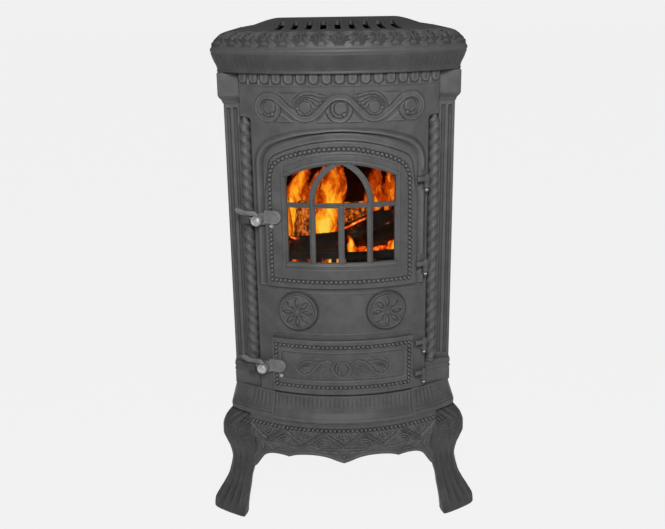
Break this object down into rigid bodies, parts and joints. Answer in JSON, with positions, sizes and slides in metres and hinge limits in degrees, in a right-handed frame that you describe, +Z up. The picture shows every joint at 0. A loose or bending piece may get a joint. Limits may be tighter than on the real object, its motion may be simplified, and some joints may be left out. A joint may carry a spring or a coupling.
{
  "type": "potbelly stove",
  "caption": "Cast-iron potbelly stove with a bowed front, pierced domed lid, arched glazed loading door with gothic tracery, air rosettes, ash door, twisted columns and cabriole legs.",
  "frame": {"origin": "centre of the overall box at floor level, under the feet", "axes": "+X towards the right of the stove seen from the front, +Y towards the flue at the back, +Z up"},
  "size_m": [0.49, 0.439, 0.8921],
  "materials": {
    "stove_iron": "matte grey stove paint",
    "stove_iron_light": "matte grey stove paint, smoother castings",
    "raw_iron": "bare, sooted",
    "bright_steel": "bright turned steel",
    "fire_clay": "rough fired clay",
    "rope_seal": "woven glass rope",
    "fire_glass": "clear heat-proof glass"
  },
  "bodies": {
    "stove_body": {"base_plate": "raw_iron", "plinth": "stove_iron", "hearth_lip": "stove_iron", "apron_front": "stove_iron", "apron_left": "stove_iron", "apron_right": "stove_iron", "apron_rear": "stove_iron", "leg_front_left": "stove_iron", "leg_front_right": "stove_iron", "leg_rear_left": "stove_iron", "leg_rear_right": "stove_iron", "front_plate": "stove_iron", "corner_post_left": "stove_iron_light", "corner_post_right": "stove_iron_light", "twist_column_left": "stove_iron", "twist_column_right": "stove_iron", "side_panel_left": "stove_iron", "side_panel_right": "stove_iron", "back_panel": "stove_iron", "flue_collar": "stove_iron", "top_plate": "raw_iron", "fire_bed": "raw_iron", "grate": "raw_iron", "firebrick_left": "fire_clay", "firebrick_right": "fire_clay", "firebrick_back": "fire_clay", "baffle_plate": "raw_iron", "log_guard": "raw_iron", "door_hinge_pin_1": "stove_iron", "door_hinge_pin_2": "stove_iron", "ash_hinge_pin_1": "stove_iron", "ash_hinge_pin_2": "stove_iron", "door_latch_keeper": "stove_iron", "ash_latch_keeper": "stove_iron", "rosette_screw_left": "stove_iron", "rosette_screw_right": "stove_iron", "tie_rod_front_left": "raw_iron", "tie_rod_front_right": "raw_iron", "tie_rod_rear_left": "raw_iron", "tie_rod_rear_right": "raw_iron"},
    "loading_door": {"door_frame": "stove_iron", "door_glass": "fire_glass", "glass_gasket": "rope_seal", "glass_clip_left": "raw_iron", "glass_clip_right": "raw_iron", "door_latch_plate": "stove_iron_light", "door_latch_bolt": "bright_steel"},
    "door_latch_arm": {"door_latch_lever": "stove_iron_light"},
    "ash_door": {"ash_door_panel": "stove_iron", "ash_latch_plate": "stove_iron_light", "ash_latch_bolt": "bright_steel"},
    "ash_latch_arm": {"ash_latch_lever": "stove_iron_light"},
    "pan": {"ash_pan": "raw_iron", "ash_pan_knob": "raw_iron"},
    "rosette_left": {"air_rosette_left": "stove_iron"},
    "rosette_right": {"air_rosette_right": "stove_iron"},
    "lid": {"pierced_lid": "stove_iron"},
    "hob_cover": {"hob_lid": "raw_iron"}
  },
  "joints": [
    {"name": "door_hinge", "type": "hinge", "parent": "stove_body", "child": "loading_door", "pos_m": [0.1385, -0.17465, 0.566], "axis": [0, 0, 1], "range_deg": [0, 110]},
    {"name": "door_latch", "type": "hinge", "parent": "loading_door", "child": "door_latch_arm", "pos_m": [-0.13622, -0.18178, 0.581], "axis": [0.4289, 0.9033, 0], "range_deg": [-8, 38]},
    {"name": "ash_door_hinge", "type": "hinge", "parent": "stove_body", "child": "ash_door", "pos_m": [0.1385, -0.17465, 0.328], "axis": [0, 0, 1], "range_deg": [0, 110]},
    {"name": "ash_door_latch", "type": "hinge", "parent": "ash_door", "child": "ash_latch_arm", "pos_m": [-0.13622, -0.18178, 0.322], "axis": [0.4289, 0.9033, 0], "range_deg": [-8, 38]},
    {"name": "ash_pan_slide", "type": "slide", "parent": "stove_body", "child": "pan", "axis": [0, -1, 0], "range_m": [0, 0.136]},
    {"name": "rosette_left_spin", "type": "hinge", "parent": "stove_body", "child": "rosette_left", "pos_m": [-0.0743, -0.19614, 0.4275], "axis": [-0.2607, -0.9654, 0], "range_deg": [0, 22.5]},
    {"name": "rosette_right_spin", "type": "hinge", "parent": "stove_body", "child": "rosette_right", "pos_m": [0.0743, -0.19614, 0.4275], "axis": [0.2607, -0.9654, 0], "range_deg": [0, 22.5]},
    {"name": "lid_lift", "type": "slide", "parent": "stove_body", "child": "lid", "axis": [0, 0, 1], "range_m": [0, 0.15]},
    {"name": "hob_cover_lift", "type": "slide", "parent": "stove_body", "child": "hob_cover", "axis": [0, 0, 1], "range_m": [0, 0.035]}
  ],
  "couplings": [
    {"joint": "ash_pan_slide", "follows": "ash_door_hinge", "m_per_rad": 0.07}
  ]
}
